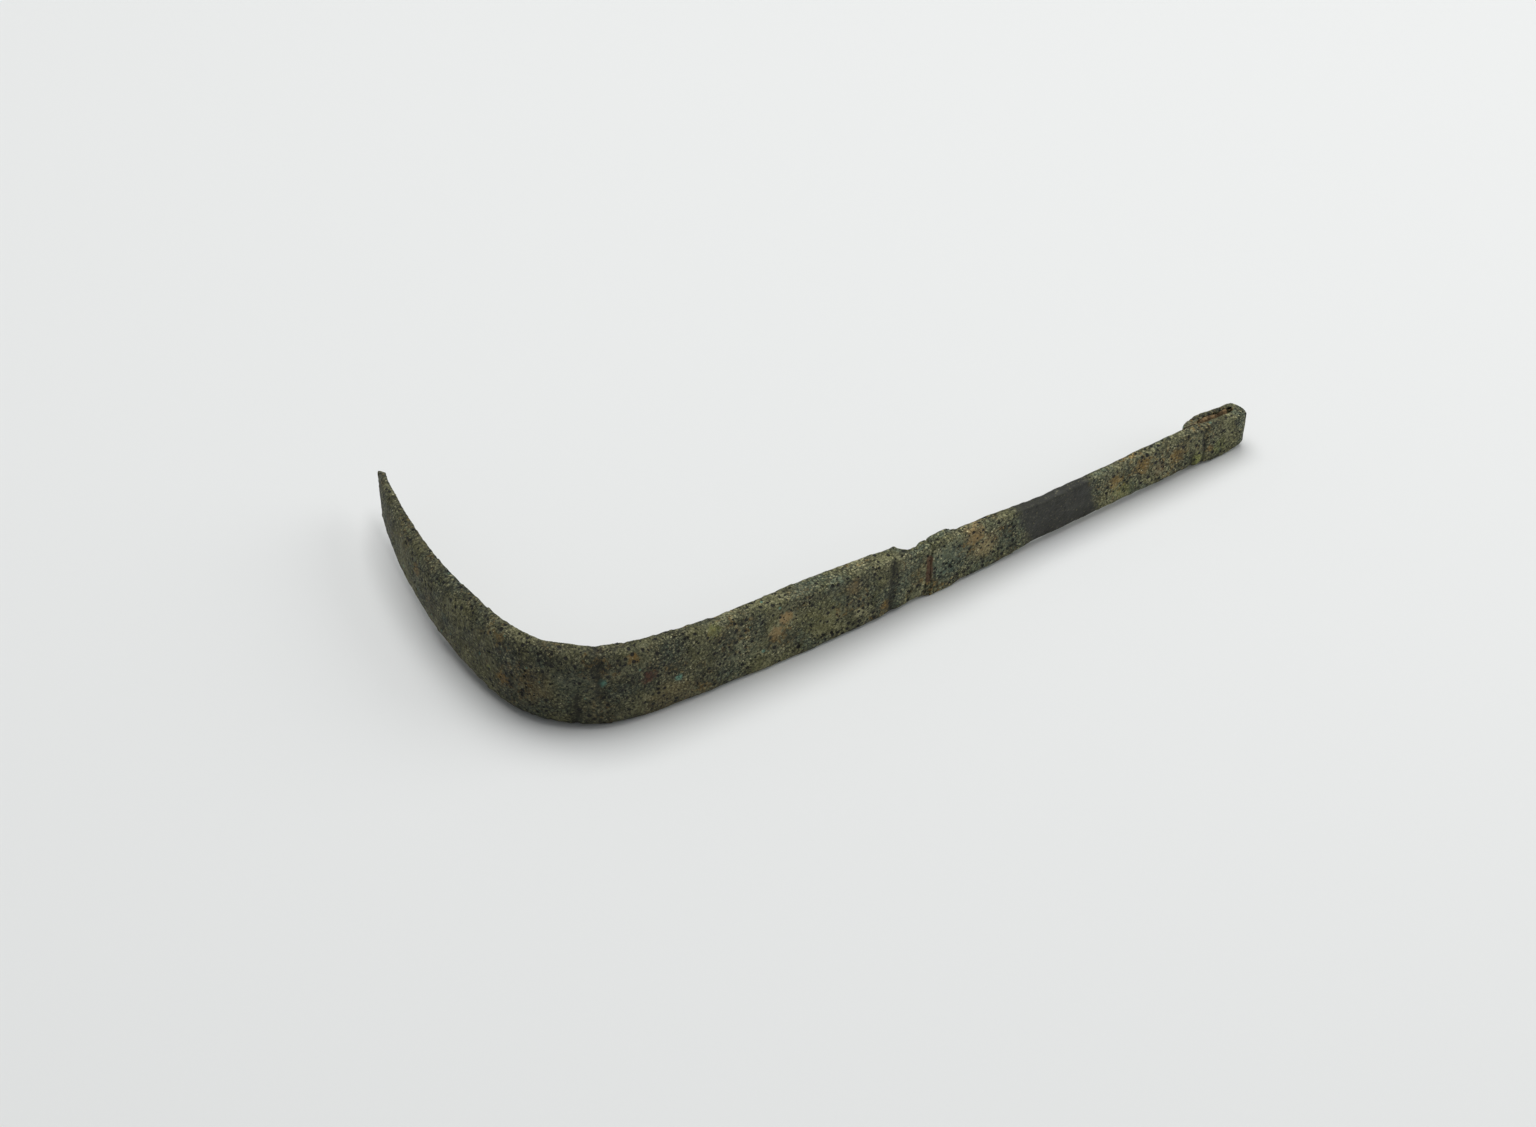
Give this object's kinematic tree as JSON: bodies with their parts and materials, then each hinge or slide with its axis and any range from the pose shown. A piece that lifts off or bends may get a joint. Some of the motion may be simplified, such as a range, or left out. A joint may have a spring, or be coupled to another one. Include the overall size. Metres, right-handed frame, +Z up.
{
  "type": "roman strigil",
  "caption": "Curved bronze skin scraper with a channelled hook blade, waisted neck and flat handle ending in a folded eye, lying on its side.",
  "frame": {"origin": "on the surface that the strigil lies on, under the middle of its bounding box", "axes": "+X along the handle towards the eye, +Y towards the tip on the hollow side of the hook, +Z up, across the blade's width"},
  "size_m": [0.1934, 0.1004, 0.0213],
  "materials": {
    "blade_bronze": "pitted olive-grey patina, dull",
    "handle_bronze": "pitted olive-grey patina, dull",
    "solder": "rust-brown corrosion, matt",
    "deposit": "packed earth, matt"
  },
  "bodies": {
    "root": {"blade": "blade_bronze", "handle": "handle_bronze", "socket_solder": "solder", "eye_solder": "solder", "eye_deposit": "deposit"}
  },
  "joints": []
}
